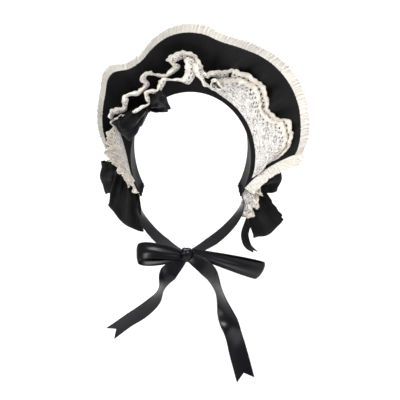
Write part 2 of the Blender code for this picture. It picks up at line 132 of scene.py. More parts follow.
def soft_noise(u, v, seed, waves=7):
    """Smooth noise of about -1 to 1: a sum of plane waves with seeded directions and starts."""
    rng = np.random.default_rng(seed)
    turn = rng.uniform(0, 2 * np.pi, waves)
    pace = rng.uniform(0.6, 1.8, waves)
    start = rng.uniform(0, 2 * np.pi, waves)
    total = 0.0
    for a, k, p in zip(turn, pace, start):
        total = total + np.sin(2 * np.pi * k * (u * np.cos(a) + v * np.sin(a)) + p)
    return total / waves ** 0.5


def cloth_piece(name, grid, finish, nodes, wall=0.0, ring=False, keep=None, mark=None):
    """A piece from a grid of points. Faces join neighbouring points, keep leaves some of them out, wall is
    the cloth's thickness, and mark is a third number that the finish may read."""
    rows, columns = grid.shape[:2]
    index = np.arange(rows * columns).reshape(rows, columns)
    here, there = (index, np.roll(index, -1, 0)) if ring else (index[:-1], index[1:])
    quads = np.stack([here[:, :-1], there[:, :-1], there[:, 1:], here[:, 1:]], -1)
    quads = quads[keep] if keep is not None else quads.reshape(-1, 4)
    used = np.unique(quads)
    renumber = np.zeros(rows * columns, int)
    renumber[used] = np.arange(len(used))
    quads = renumber[quads]
    points = grid.reshape(-1, 3)[used]
    middle = lengths(grid, 0)[:, columns // 2][:, None] * np.ones((1, columns))
    place = np.stack([middle, lengths(grid, 1), np.zeros((rows, columns)) if mark is None else mark], -1)
    mesh = bpy.data.meshes.new(name)
    mesh.vertices.add(len(points))
    mesh.vertices.foreach_set("co", points.astype(np.float32).ravel())
    mesh.loops.add(quads.size)
    mesh.loops.foreach_set("vertex_index", quads.astype(np.int32).ravel())
    mesh.polygons.add(len(quads))
    mesh.polygons.foreach_set("loop_start", np.arange(0, quads.size, 4, dtype=np.int32))
    mesh.update(calc_edges=True)
    mesh.validate()
    mesh.shade_smooth()
    attribute = mesh.attributes.new("cloth", "FLOAT_VECTOR", "POINT")
    attribute.data.foreach_set("vector", place.reshape(-1, 3)[used].astype(np.float32).ravel())
    piece = bpy.data.objects.new(name, mesh)
    bpy.context.scene.collection.objects.link(piece)
    mesh.materials.append(finish)
    if wall:
        thick = piece.modifiers.new("wall", "SOLIDIFY")
        thick.thickness = wall
        thick.offset = 0
    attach(piece, "root")
    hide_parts(*nodes)
    area = sum(face.area for face in mesh.polygons)
    print(f"{name}: {len(quads)} faces, {middle[-1, 0] * 1000:.0f} by {lengths(grid, 1)[:, -1].mean() * 1000:.0f} mm,"
          f" {area * 1e4:.1f} square cm")
    return piece


# %% [markdown]
# The head is an arch in one plane, and the brim grows out of it. At each angle round the head a straight
# line leaves the band, turned up and leant forward by the angles in the table, and the line is bent back a
# little in its middle. Lace is placed by the same rule: so far out along the brim, and so far in front of it.

# %% The head's arch and the brim's surface
def arch(angle, radial=0.0):
    """The band's middle line: half width times the cosine, and rise times the sine, of the angle."""
    turn = np.radians(angle)
    half_width = HEAD_HALF_WIDTH + BAND_WALL / 2 + radial
    rise = HEAD_RISE + BAND_WALL / 2 + radial
    return np.stack([half_width * np.cos(turn), 0 * turn, rise * np.sin(turn) - HEAD_RISE], -1)


def brim_surface(angle, share):
    """The brim's middle surface: from the arch, out along its line by a share of its width, and bent back
    by a parabola that is zero at both ends."""
    angle, share = np.broadcast_arrays(np.asarray(angle, float), np.asarray(share, float))
    width = BRIM_WIDTH * through(BRIM, 1, angle)
    turn, lean = np.radians(through(BRIM, 2, angle)), np.radians(through(BRIM, 3, angle))
    out = np.stack([np.cos(lean) * np.cos(turn), -np.sin(lean), np.cos(lean) * np.sin(turn)], -1)
    back = np.stack([np.sin(lean) * np.cos(turn), np.cos(lean), np.sin(lean) * np.sin(turn)], -1)
    root = arch(angle) - np.array([0, BRIM_WALL / 2 + GAP, 0])
    return root + out * (width * share)[..., None] + back * (BRIM_CUP * 4 * share * (1 - share))[..., None]


def before_brim(angle, out, forward):
    """Points a distance out from the brim's root and a distance in front of the brim, in metres."""
    points = brim_surface(angle, out / (BRIM_WIDTH * through(BRIM, 1, np.asarray(angle, float))))
    points[..., 1] -= forward
    return points


def band_surface(angle, share, radial=0.0):
    """The band's middle surface: the arch carried back by its depth, and a little tighter behind."""
    points = arch(angle, radial - BAND_TIGHTEN * share ** 2)
    points[..., 1] += BAND_DEPTH * through(BAND, 1, angle) * share
    return points


print("brim top:", np.round(brim_surface(90.0, 1.0), 3))

# %% [markdown]
# Finishes are built from nodes. One helper adds a node, sets its inputs and links them, and one turns a
# colour as it is written for screens, such as #f1ece0, into the linear numbers that the shader needs.

# %% Helpers for the finishes
def linear(code):
    """A screen colour as linear light: divide by 12.92 in the shadows, else the 2.4 power rule."""
    values = np.array([int(code[i:i + 2], 16) for i in (1, 3, 5)]) / 255
    light = np.where(values <= 0.04045, values / 12.92, ((values + 0.055) / 1.055) ** 2.4)
    return (*light, 1.0)


def finish(name):
    """A new material, with its node tree and its shader."""
    made = bpy.data.materials.new(name)
    made.use_nodes = True
    return made, made.node_tree, made.node_tree.nodes["Principled BSDF"]


def add(tree, kind, settings=None, **inputs):
    """A node of a kind with its settings, whose inputs are values or other nodes' outputs."""
    node = tree.nodes.new(kind)
    for key, value in (settings or {}).items():
        setattr(node, key, value)
    for key, value in inputs.items():
        socket = node.inputs[int(key[1:])] if key[1:].isdigit() else node.inputs[key.replace("_", " ")]
        if isinstance(value, bpy.types.NodeSocket):
            tree.links.new(value, socket)
        else:
            socket.default_value = value
    return node


def blend_colours(tree, share, dark, light):
    """A colour between two screen colours, by a share."""
    mix = add(tree, "ShaderNodeMix", {"data_type": "RGBA"}, _0=share, _6=linear(dark), _7=linear(light))
    return mix.outputs[2]


def ramp(tree, value, low, high):
    """A value stretched from low..high to 0..1 and cut off outside."""
    node = add(tree, "ShaderNodeMapRange", {"clamp": True}, _0=value, _1=low, _2=high, _3=0.0, _4=1.0)
    return node.outputs[0]


def arithmetic(tree, work, first, second=0.0):
    """One sum of two values."""
    return add(tree, "ShaderNodeMath", {"operation": work}, _0=first, _1=second).outputs[0]


def raised(tree, shader, height, distance, strength=1.0):
    """Relief from a height, in metres, for the shader."""
    bump = add(tree, "ShaderNodeBump", Height=height, Distance=distance, Strength=strength)
    tree.links.new(bump.outputs[0], shader.inputs["Normal"])


# %% [markdown]
# The brim, the band and the side bows are black cotton twill: a matte cloth dyed in the piece, whose weft
# passes over two threads and under one, so fine diagonal ridges run over it. The real ridges are about
# 0.5 mm apart, too fine to show from here, so they are drawn 1.1 mm apart. Fibre ends on the face catch a
# little light, which the sheen gives, and the dye is never quite even. The mark on each point is how far a
# fold or dent stands out, and it is painted light and shade: crests are painted lighter, hollows darker.

# %% Black cotton twill
def cotton_twill():
    made, tree, shader = finish("black_cotton_twill")
    place = add(tree, "ShaderNodeAttribute", {"attribute_name": "cloth"}).outputs["Vector"]
    part = add(tree, "ShaderNodeSeparateXYZ", _0=place).outputs
    diagonal = arithmetic(tree, "ADD", part[0], part[1])
    ridge = arithmetic(tree, "SINE", arithmetic(tree, "MULTIPLY", diagonal, 2 * np.pi / 0.0011 / 1.41))
    spot = add(tree, "ShaderNodeTexCoord").outputs["Object"]
    uneven = add(tree, "ShaderNodeTexNoise", _1=0.0, Vector=spot, Scale=45.0, Detail=4.0).outputs[0]
    fluff = add(tree, "ShaderNodeTexNoise", Vector=spot, Scale=900.0, Detail=2.0).outputs[0]
    shade = arithmetic(tree, "ADD", arithmetic(tree, "MULTIPLY", uneven, 0.6), arithmetic(tree, "MULTIPLY", fluff, 0.4))
    # Painted highlight and painted shade: the mark lightens fold crests and darkens fold hollows.
    shade = arithmetic(tree, "ADD", shade, arithmetic(tree, "MULTIPLY", part[2], 0.28))
    tree.links.new(blend_colours(tree, ramp(tree, shade, 0.1, 0.9), "#030303", "#18181a"), shader.inputs["Base Color"])
    tree.links.new(add(tree, "ShaderNodeMapRange", _0=uneven, _3=0.46, _4=0.62).outputs[0], shader.inputs["Roughness"])
    shader.inputs["Sheen Weight"].default_value = 0.03
    shader.inputs["Sheen Roughness"].default_value = 0.45
    shader.inputs["Specular IOR Level"].default_value = 0.12
    height = arithmetic(tree, "ADD", arithmetic(tree, "MULTIPLY", ridge, 0.35), fluff)
    raised(tree, shader, height, 0.00018, 0.7)
    return made


# %% [markdown]
# The ribbons are black polyester satin: long weft threads float over the warp, so the face is smooth and
# bright along them and the back of a fold shines in a soft streak. A low roughness with fine ribs across
# the ribbon gives that. The selvedge, the woven edge, is a little denser and duller.

# %% Black satin ribbon
def satin_weave():
    made, tree, shader = finish("black_polyester_satin")
    place = add(tree, "ShaderNodeAttribute", {"attribute_name": "cloth"}).outputs["Vector"]
    part = add(tree, "ShaderNodeSeparateXYZ", _0=place).outputs
    rib = arithmetic(tree, "SINE", arithmetic(tree, "MULTIPLY", part[0], 2 * np.pi / 0.0009))
    spot = add(tree, "ShaderNodeTexCoord").outputs["Object"]
    cloud = add(tree, "ShaderNodeTexNoise", Vector=spot, Scale=60.0, Detail=3.0).outputs[0]
    stretch = add(tree, "ShaderNodeMapping", _0=place, Scale=(140.0, 1400.0, 1.0)).outputs[0]
    thread = add(tree, "ShaderNodeTexNoise", Vector=stretch, Scale=1.0, Detail=2.0).outputs[0]
    tree.links.new(blend_colours(tree, ramp(tree, cloud, 0.3, 0.7), "#07070a", "#0c0c12"), shader.inputs["Base Color"])
    tree.links.new(add(tree, "ShaderNodeMapRange", _0=thread, _3=0.24, _4=0.34).outputs[0], shader.inputs["Roughness"])
    shader.inputs["Specular IOR Level"].default_value = 0.23
    shader.inputs["Sheen Weight"].default_value = 0.03
    shader.inputs["Sheen Tint"].default_value = linear("#aab0c8")
    height = arithmetic(tree, "ADD", arithmetic(tree, "MULTIPLY", rib, 0.4), thread)
    raised(tree, shader, height, 0.00004, 0.4)
    return made


# %% [markdown]
# The lace is white cotton lawn with machine embroidery: eyelets are punched and bound with thread, and the
# ground between them is stitched all over. The large eyelets are real holes in the mesh, made further on.
# The stitched ground is relief, and its low parts are painted faint grey as painted shade: stitches about
# 1 mm wide, in rosettes some 9 mm apart, with pin holes between them. The mark on each point grows towards
# the hem, where the thread is creamier; on crumpled spare cloth it also rises in patches of painted shade.

# %% White eyelet lace
def eyelet_cotton():
    made, tree, shader = finish("white_cotton_eyelet")
    place = add(tree, "ShaderNodeAttribute", {"attribute_name": "cloth"}).outputs["Vector"]
    part = add(tree, "ShaderNodeSeparateXYZ", _0=place).outputs
    flat = add(tree, "ShaderNodeCombineXYZ", _0=part[0], _1=part[1], _2=0.0).outputs[0]
    pins = add(tree, "ShaderNodeTexVoronoi", {"feature": "F1"}, Vector=flat, Scale=260.0).outputs["Distance"]
    rosette = add(tree, "ShaderNodeTexVoronoi", {"feature": "SMOOTH_F1"}, Vector=flat, Scale=105.0).outputs["Distance"]
    rings = arithmetic(tree, "SINE", arithmetic(tree, "MULTIPLY", rosette, 26.0))
    stitch = add(tree, "ShaderNodeTexNoise", Vector=flat, Scale=620.0, Detail=3.0).outputs[0]
    cloud = add(tree, "ShaderNodeTexNoise", Vector=flat, Scale=38.0, Detail=2.0).outputs[0]
    pin = ramp(tree, pins, 0.20, 0.33)
    open_ground = ramp(tree, cloud, 0.44, 0.54)
    border = ramp(tree, part[2], 0.84, 0.92)
    pin = arithmetic(tree, "MAXIMUM", arithmetic(tree, "MAXIMUM", pin, open_ground), border)
    # Painted shade: the ground is painted greyer where the stitched relief is low.
    tone = arithmetic(tree, "ADD", arithmetic(tree, "MULTIPLY", rings, 0.18), stitch)
    ground = blend_colours(tree, ramp(tree, tone, 0.25, 0.72), "#c6c1bc", "#f1eeea")
    hem = blend_colours(tree, ramp(tree, stitch, 0.3, 0.7), "#dccfbf", "#fbf6ee")
    cloth = add(tree, "ShaderNodeMix", {"data_type": "RGBA"}, _0=border, _6=ground, _7=hem)
    holes = add(tree, "ShaderNodeMix", {"data_type": "RGBA"}, _0=pin, _6=linear("#6a6562"), _7=cloth.outputs[2])
    tree.links.new(holes.outputs[2], shader.inputs["Base Color"])
    shader.inputs["Roughness"].default_value = 0.85
    shader.inputs["Sheen Weight"].default_value = 0.10
    shader.inputs["Specular IOR Level"].default_value = 0.30
    height = arithmetic(tree, "ADD", arithmetic(tree, "MULTIPLY", rings, 0.5), arithmetic(tree, "ADD", stitch, pin))
    raised(tree, shader, height, 0.0004, 0.8)
    return made


# %% [markdown]
# The brim's edge and the lace's hem are a soft ivory thread: cotton net gathered on a cord. It is matt and
# warm, and painted a little tan deep in the creases, as painted shade. The mark on each point is how deep in a
# crease it lies.

# %% Ivory net
def ivory_net(name, pale, deep, mesh_size):
    made, tree, shader = finish(name)
    place = add(tree, "ShaderNodeAttribute", {"attribute_name": "cloth"}).outputs["Vector"]
    part = add(tree, "ShaderNodeSeparateXYZ", _0=place).outputs
    flat = add(tree, "ShaderNodeCombineXYZ", _0=part[0], _1=part[1], _2=0.0).outputs[0]
    net = add(tree, "ShaderNodeTexVoronoi", {"feature": "DISTANCE_TO_EDGE"}, Vector=flat, Scale=1 / mesh_size).outputs[0]
    fuzz = add(tree, "ShaderNodeTexNoise", Vector=flat, Scale=1.6 / mesh_size, Detail=4.0).outputs[0]
    cloud = add(tree, "ShaderNodeTexNoise", Vector=flat, Scale=70.0, Detail=2.0).outputs[0]
    # Painted shade: the crease depth, broken up by a cloud, pulls the colour towards the deep tan.
    crease_shade = arithmetic(tree, "MULTIPLY", part[2], ramp(tree, cloud, 0.35, 0.65))
    tone = arithmetic(tree, "SUBTRACT", ramp(tree, fuzz, 0.18, 0.58), arithmetic(tree, "MULTIPLY", crease_shade, 0.6))
    tree.links.new(blend_colours(tree, tone, deep, pale), shader.inputs["Base Color"])
    shader.inputs["Roughness"].default_value = 0.9
    shader.inputs["Sheen Weight"].default_value = 0.15
    shader.inputs["Specular IOR Level"].default_value = 0.25
    raised(tree, shader, arithmetic(tree, "ADD", fuzz, ramp(tree, net, 0.0, 0.25)), 0.0006, 0.8)
    return made


COTTON = cotton_twill()
SATIN = satin_weave()
EYELET = eyelet_cotton()
NET = ivory_net("ivory_cotton_net", "#fdfaf4", "#dccdb9", 0.0016)
THREAD = ivory_net("cream_hem_thread", "#f6efe2", "#d2c4ae", 0.0010)
print("finishes:", [m.name for m in (COTTON, SATIN, EYELET, NET, THREAD)])

# %% [markdown]
# The band is a strip of cotton on the head. It could be a plain hoop, but cloth pulled over a head puckers
# where the brim is sewn on, so shallow folds cross it, deepest near the satin bow.

# %% The band
def crown_band():
    """The band's surface, lifted by folds that run from front to back: a wave of the angle."""
    angle = np.linspace(-BAND_END_ANGLE, 180 + BAND_END_ANGLE, 421)[:, None]
    share = np.linspace(-0.02, 1, 25)[None, :]
    bow = np.exp(-((angle - 118) / 26) ** 2)
    fold = (0.00035 + 0.0008 * bow) * np.sin(np.radians(angle * 9 + 90 * share)) * np.sin(np.pi * share)
    wide = np.broadcast_to(angle, (421, 25))
    # The fold height is returned as the mark, which the cotton paints as painted highlight and painted shade.
    return band_surface(wide, np.broadcast_to(share, (421, 25)), fold), fold / 0.001


band_grid, band_fold_shade = crown_band()
band = cloth_piece("crown_band_cloth", band_grid, COTTON, ["crown_band"], wall=0.0019, mark=band_fold_shade)

# %% [markdown]
# The brim is cotton over a stiffener, with a wire in its edge. It is one sheet: the same surface that the
# solid follows, with the soft dents that a wired brim gets from handling. They run out from the root like
# rays and are strongest on the right. A rolled edge is left where the wire lies.

# %% The brim
END_DROP = 7.0
END_DROP_REACH = 0.4


def brim_dents(angle, share):
    """How far the brim is pushed back: bell curves of the angle, growing with the share."""
    total = 0.0
    for centre, spread, depth in ((22, 2.6, 1.4), (30, 2.2, -1.5), (39, 2.4, 1.9), (48, 2.0, -1.4), (57, 2.6, 1.8),
                                  (66, 2.2, -1.2), (78, 3.0, 1.3), (97, 3.0, -1.2), (8, 2.6, 1.2), (140, 3.0, 1.2), (168, 3.5, 1.3)):
        total = total + depth * np.exp(-((angle - centre) / spread) ** 2)
    return 0.0019 * total * np.sin(np.pi * np.clip(share, 0, 1) ** 1.1) ** 1.3


def end_drop(share):
    """How many degrees lower than straight the right end's edge runs: a parabola near the root."""
    return END_DROP * np.clip(1 - share / END_DROP_REACH, 0, 1) ** 2


def brim():
    """The brim's surface moved along its normal by the dents, and rolled forward at the wire. Its right end
    curves down towards the ear."""
    share = np.linspace(0, 1, 61)[None, :]
    stretch = np.linspace(0, 1, 441)[:, None]
    angle = BRIM[0, 0] + (BRIM[-1, 0] - BRIM[0, 0]) * stretch - end_drop(share) * (1 - stretch) ** 6
    grid = brim_surface(angle, share)
    wire = np.exp(-((share - 0.975) / 0.012) ** 2)
    dents = brim_dents(angle, share)
    # The dents are returned as the mark, which the cotton paints as painted shade where the brim is pushed back and
    # painted highlight where it bulges forward.
    return grid + normals(grid) * (dents - 0.0004 * wire)[..., None], -dents / 0.002


brim_grid, brim_dent_shade = brim()
brim_piece = cloth_piece("brim_cloth", brim_grid, COTTON, ["brim"], wall=0.0021, mark=brim_dent_shade)

# %% [markdown]
# The edge is a strip of ivory net gathered on a cord and sewn round the wire, ends included. Gathering
# pushes a long strip into a short seam, so it throws itself into creases about 4 mm apart. The creases are
# a wave along the rim that grows from the seam outwards. Its pace wanders, because no two gathers are
# alike, and the outer edge is soft and uneven.

# %% The gathered edge
def rim_path(step=0.0006):
    """The rim from the right ear round to the left ear: its points, and the ways outward and forward. The
    outward way turns a quarter circle at each corner."""
    first, last = BRIM[0, 0], BRIM[-1, 0]
    side, top, fan = 170, 1000, 24
    up = np.linspace(0.02, 1, side)
    across = np.linspace(first, last, top + 2)[1:-1]
    angle = np.concatenate([first - end_drop(up), np.full(fan, first), across, np.full(side + fan, last)])
    share = np.concatenate([up, np.ones(fan + top + fan), up[::-1]])
    corner = np.radians(np.linspace(0, 90, fan + 2)[1:-1])
    turn = np.concatenate([0 * up, corner, np.full(top, np.pi / 2), corner[::-1], 0 * up])
    small = 0.01
    beside = np.clip(angle, first - END_DROP, last - small)
    along = unit(brim_surface(beside + small, share) - brim_surface(beside - small, share))
    outward = unit(brim_surface(angle, share) - brim_surface(angle, share - small))
    lean = np.gradient(brim_surface(angle, share), axis=0)
    outward[:side] = unit(lean[:side])
    ahead = unit(np.cross(along, outward))
    ahead *= np.where(ahead[:, 1:2] > 0, -1, 1)
    end_way = along * np.where(angle < (first + last) / 2, -1, 1)[:, None]
    square = unit(end_way - outward * (end_way * outward).sum(-1, keepdims=True))
    way = square * np.cos(turn)[:, None] + outward * np.sin(turn)[:, None]
    return brim_surface(angle, share), way, ahead


def gathered_edge():
    """A strip outside the rim. Its depth is a wave of the distance along the rim whose pace wanders, and
    its width swells and shrinks a little."""
    rim, way, ahead = rim_path()
    run = lengths((rim + way * 0.6 * FRILL_WIDTH)[:, None], 0)[:, 0]
    wander = 0.9 * np.sin(run * 61) + 0.9 * np.sin(run * 143 + 1) + 0.7 * np.sin(run * 317 + 2)
    phase = 2 * np.pi * run / 0.0046 + 1.9 * wander
    height = 0.75 + 0.45 * np.sin(run * 211) * np.sin(run * 87)
    share = np.linspace(0, 1, 19)[None, :]
    wave = np.sin(phase[:, None] + 1.2 * share) + 0.5 * np.sin(1.7 * phase[:, None] + 4 * share)
    grow = 0.0003 + 0.0006 * share
    fuzz = soft_noise(run[:, None] * 330, share * 3.0, 5)
    depth = wave * grow * height[:, None] + 0.0005 * fuzz * share
    scallop = 0.0005 * fuzz + 0.0006 * np.sin(run * 90 + wander)[:, None]
    wider = 0.0016 * np.exp(-((run - 0.33 * run[-1]) / 0.17) ** 2)[:, None]
    reach = -0.0012 + (FRILL_WIDTH + 0.0008 + wider + scallop) * share
    sway = 0.0004 * np.cos(phase * 0.5)[:, None] * share
    along = unit(np.gradient(rim, axis=0))
    lift = 0.0016 * (1 - share) ** 2
    grid = (rim[:, None] + way[:, None] * reach[..., None] + ahead[:, None] * (depth + lift)[..., None]
            + along[:, None] * sway[..., None])
    # How deep in a crease each point lies, which the net paints as painted shade.
    crease_shade = np.clip(-wave, 0, 1) * height[:, None] * (1 - share) ** 0.5
    return grid, crease_shade


edge_grid, edge_crease_shade = gathered_edge()
edge_frill = cloth_piece("gathered_edge_net", edge_grid, NET, ["brim_edge_trim"], wall=0.0006, mark=edge_crease_shade)

# %% [markdown]
# Two tiers of eyelet lace are sewn along the brim's root and up to its middle. On the right they lie flat
# against the brim. Over the top and down the left they stand up in folds, so mostly their hems are seen.
# Each row of the tables is one fold, read off the real lace: where the seam, the middle and the hem lie, by
# angle, distance out, and distance in front of the brim, in degrees and millimetres.

# %% The folds of the lace
HEM_TURN = 0.6
TIER_FRONT = np.array([
    (-17, 6, -17, 13, 4.4, -16, 20, 6), (-12, 7, -11, 20, 5.2, -9, 34, 7), (-7, 7, -6, 32, 5.6, -4, 60, 8),
    (2, 7, 4, 36, 5.6, 8, 66, 8), (11, 7, 14, 33, 5.6, 17, 59, 8), (21, 7, 23, 24, 5.6, 26, 39, 8),
    (31, 7, 33, 23, 5.6, 35, 38, 8), (40, 7, 41, 26, 5.6, 42, 47, 8), (49, 7, 49, 28, 5.6, 50, 50, 8),
    (58, 7, 58, 26, 5.6, 59, 45, 8), (65, 8, 65, 22, 6, 66, 37, 8), (68, 9, 68, 22, 7, 69, 33, 10),
    (70, 12, 71, 25, 11, 72, 34, 14), (72, 18, 74, 29, 15, 75, 36, 17), (74, 22, 76, 29, 17, 78, 33, 19),
    (73, 18, 75, 25, 19, 77, 28, 21), (72, 16, 74, 25, 21, 74, 28, 23), (70, 15, 72, 24, 22, 73, 25, 24),
    (71, 11, 74, 20, 23, 74, 23, 25), (75, 13, 77, 23, 24, 76, 26, 26), (75, 22, 77, 32, 24, 76, 31, 26),
    (72, 26, 74, 36, 24, 74, 35, 26), (68, 24, 71, 34, 24, 72, 33, 26), (66, 18, 68, 28, 24, 70, 28, 26),
    (70, 14, 72, 24, 24, 71, 22, 26), (74, 12, 76, 22, 24, 75, 20, 26), (76, 14, 78, 25, 24, 78, 21, 26),
    (80, 18, 81, 28, 23, 82, 24, 25), (82, 23, 83, 32, 22, 88, 31, 25), (84, 30, 85, 38, 20, 92, 38, 24),
    (86, 36, 86, 44, 19, 94, 46, 23), (88, 43, 88, 50, 18, 95, 57, 22), (91, 45, 91, 52, 18, 97, 65, 22),
    (93, 46, 93, 53, 18, 99, 66, 22), (92, 42, 92, 50, 18, 101, 62, 22), (91, 34, 91, 42, 19, 100, 52, 23),
    (90, 24, 91, 32, 20, 100, 42, 24), (93, 14, 94, 22, 21, 101, 36, 24), (100, 18, 100, 27, 22, 103, 34, 24),
    (108, 23, 108, 33, 23, 108, 38, 25), (112, 26, 111, 36, 24, 113, 44, 26), (113, 22, 113, 32, 24, 117, 45, 26),
    (116, 18, 115, 27, 24, 119, 39, 26), (118, 15, 117, 25, 25, 120, 32, 27), (124, 19, 122, 29, 26, 124, 38, 28),
    (128, 25, 126, 35, 26, 129, 46, 28), (130, 23, 128, 34, 27, 132, 46, 29), (129, 17, 127, 28, 28, 131, 34, 30),
    (130, 8, 128, 19, 28, 129, 25, 30), (137, 12, 134, 22, 28, 134, 28, 30), (144, 16, 141, 25, 28, 141, 31, 30),
    (154, 27, 149, 33, 28, 149, 38, 30), (163, 40, 158, 46, 27, 157, 49, 29), (169, 40, 165, 57, 26, 164, 65, 28),
    (173, 24, 170, 40, 18, 168, 62, 22), (178, 13, 178, 40, 13, 178, 72, 18), (182, 8, 184, 38, 9, 187, 69, 12),
    (185, 6, 189, 44, 12, 196, 83, 15), (189, 4, 194, 45, 8, 203, 88, 10), (193, 3, 197, 42, 11, 205, 80, 14),
    (197, 3, 200, 34, 7, 206, 65, 9), (200, 3, 203, 28, 10, 207, 52, 14), (204, 3, 206, 26, 7, 212, 50, 9),
    (207, 3, 209, 22, 9, 211, 36, 13), (210, 4, 211, 15, 7, 213, 24, 8), (212, 5, 213, 11, 8, 215, 15, 10),
])
TIER_BACK = np.array([
    (-13, 13, -13, 31, 3.2, -13, 50, 4), (-7, 14, -7.5, 40, 3.2, -8, 67, 4.5), (3, 14, 2, 45, 3.2, 1, 76, 5),
    (13, 14, 13.5, 44, 3.2, 14, 74, 5), (21, 14, 21, 34, 3.2, 21, 54, 4.5), (29, 14, 29, 30, 3.2, 29, 45, 4.5),
    (37, 14, 37, 34, 3.2, 37, 54, 5), (46, 14, 46, 37, 3.2, 46, 60, 5), (54, 14, 54.5, 36, 3.2, 55, 58, 5),
    (62, 16, 62.5, 35, 3.2, 63, 55, 4.5), (69, 22, 69.5, 36, 4, 70, 48, 6), (73, 30, 74, 38, 9, 75, 45, 11),
    (75, 32, 76, 37, 12, 77, 44, 14), (78, 30, 79, 36, 14, 81, 43, 16), (79, 26, 80, 33, 16, 82, 38, 18),
    (83, 28, 84, 35, 18, 83, 44, 20), (87, 29, 88, 36, 17, 84, 46, 19), (89, 38, 89, 44, 15, 86, 54, 17),
    (90, 44, 91, 50, 14, 89, 58, 16), (93, 53, 94, 57, 12, 94, 68, 14), (96, 54, 96, 59, 12, 97, 70, 14),
    (99, 54, 99, 59, 12, 100, 72, 14), (102, 53, 102, 58, 13, 103, 70, 15), (103, 52, 103, 58, 14, 108, 72, 16),
    (105, 52, 104, 58, 15, 111, 71, 17), (105, 49, 105, 55, 16, 112, 67, 18), (102, 44, 102, 50, 15, 109, 58, 17),
    (102, 38, 102, 44, 14, 106, 50, 16), (106, 33, 106, 38, 14, 109, 45, 16), (112, 31, 111, 37, 15, 112, 42, 17),
    (116, 37, 116, 43, 16, 115, 48, 18), (121, 46, 120, 52, 16, 120, 58, 18), (125, 54, 124, 61, 17, 125, 71, 19),
    (128, 57, 126, 64, 18, 129, 76, 20), (129, 56, 128, 63, 18, 132, 74, 20), (129, 51, 128, 58, 18, 133, 68, 20),
    (127, 41, 126, 48, 18, 131, 58, 20), (129, 36, 127, 44, 19, 132, 55, 21), (138, 38, 136, 45, 20, 136, 56, 22),
    (143, 44, 141, 52, 20, 141, 61, 22), (146, 46, 144, 54, 21, 145, 63, 23), (146, 42, 144, 50, 22, 147, 61, 24),
    (149, 38, 146, 44, 23, 149, 56, 25), (153, 34, 149, 40, 24, 151, 53, 26), (160, 49, 157, 53, 25, 156, 66, 27),
    (164, 56, 161, 64, 26, 160, 74, 28), (167, 58, 164, 64, 28, 164, 72, 30),
])


def tier_point(table, fold, share):
    """A point of a tier. Between seam, middle and hem, angle, out and forward follow a parabola of the
    share; from fold to fold they follow the table's smooth curve. The seam stands 3 mm off the brim. Where
    the lace stands more than 10 mm off it, the hem turns over less by HEM_TURN."""
    stations = np.column_stack([np.arange(len(table)), table])
    value = [through(stations, k, fold) for k in range(1, 9)]
    seam, middle = (value[0], value[1], 3.0 + 0 * value[0]), value[2:5]
    turn = 1 - (1 - HEM_TURN) * np.clip((middle[2] - 10) / 6, 0, 1)
    hem = [m + (h - m) * turn for m, h in zip(middle, value[5:8])]
    half = 0.55
    found = []
    for a, b, c in zip(seam, middle, hem):
        bend = (b - a * (1 - half) ** 2 - c * half ** 2) / (2 * half * (1 - half))
        found.append(a * (1 - share) ** 2 + 2 * share * (1 - share) * bend + c * share ** 2)
    angle, out, forward = found
    return before_brim(angle, out / 1000, forward / 1000)


# %% [markdown]
# The eyelets are real holes. The sheet starts as a fine grid. For every point the nearest eyelet is
# found from its place on the flat cloth. Faces inside an eyelet are left out, and points near its rim are
# moved onto the circle, so the hole is round. Two staggered rows follow the hem, 7 and 11 mm in, and small
# rosettes of six lie further in.

# %% The tiers
def nearest_eyelet(along, inward):
    """For places on the flat cloth in metres: the vector to the nearest eyelet's middle, and its radius."""
    best = None
    for row_in, pitch, start, radius in ((0.0072, 0.0068, 0.0, 0.0014), (0.0116, 0.0068, 0.0034, 0.0013)):
        middle = np.round((along - start) / pitch) * pitch + start
        best = closer(best, along - middle, inward - row_in, radius)
    for ring_in, pitch, start in ((0.0205, 0.021, 0.003), (0.0330, 0.021, 0.0135)):
        middle = np.round((along - start) / pitch) * pitch + start
        for k in range(6):
            turn = np.pi / 3 * k + 0.4
            best = closer(best, along - middle - 0.0037 * np.cos(turn), inward - ring_in - 0.0037 * np.sin(turn), 0.00105)
    return best


def closer(best, across_x, across_y, radius):
    """Keeps, point by point, the eyelet whose rim is nearer."""
    distance = np.hypot(across_x, across_y)
    if best is None:
        return across_x, across_y, distance, np.full_like(distance, radius)
    nearer = distance / radius < best[2] / best[3]
    return tuple(np.where(nearer, new, old) for new, old in zip((across_x, across_y, distance, radius), best))


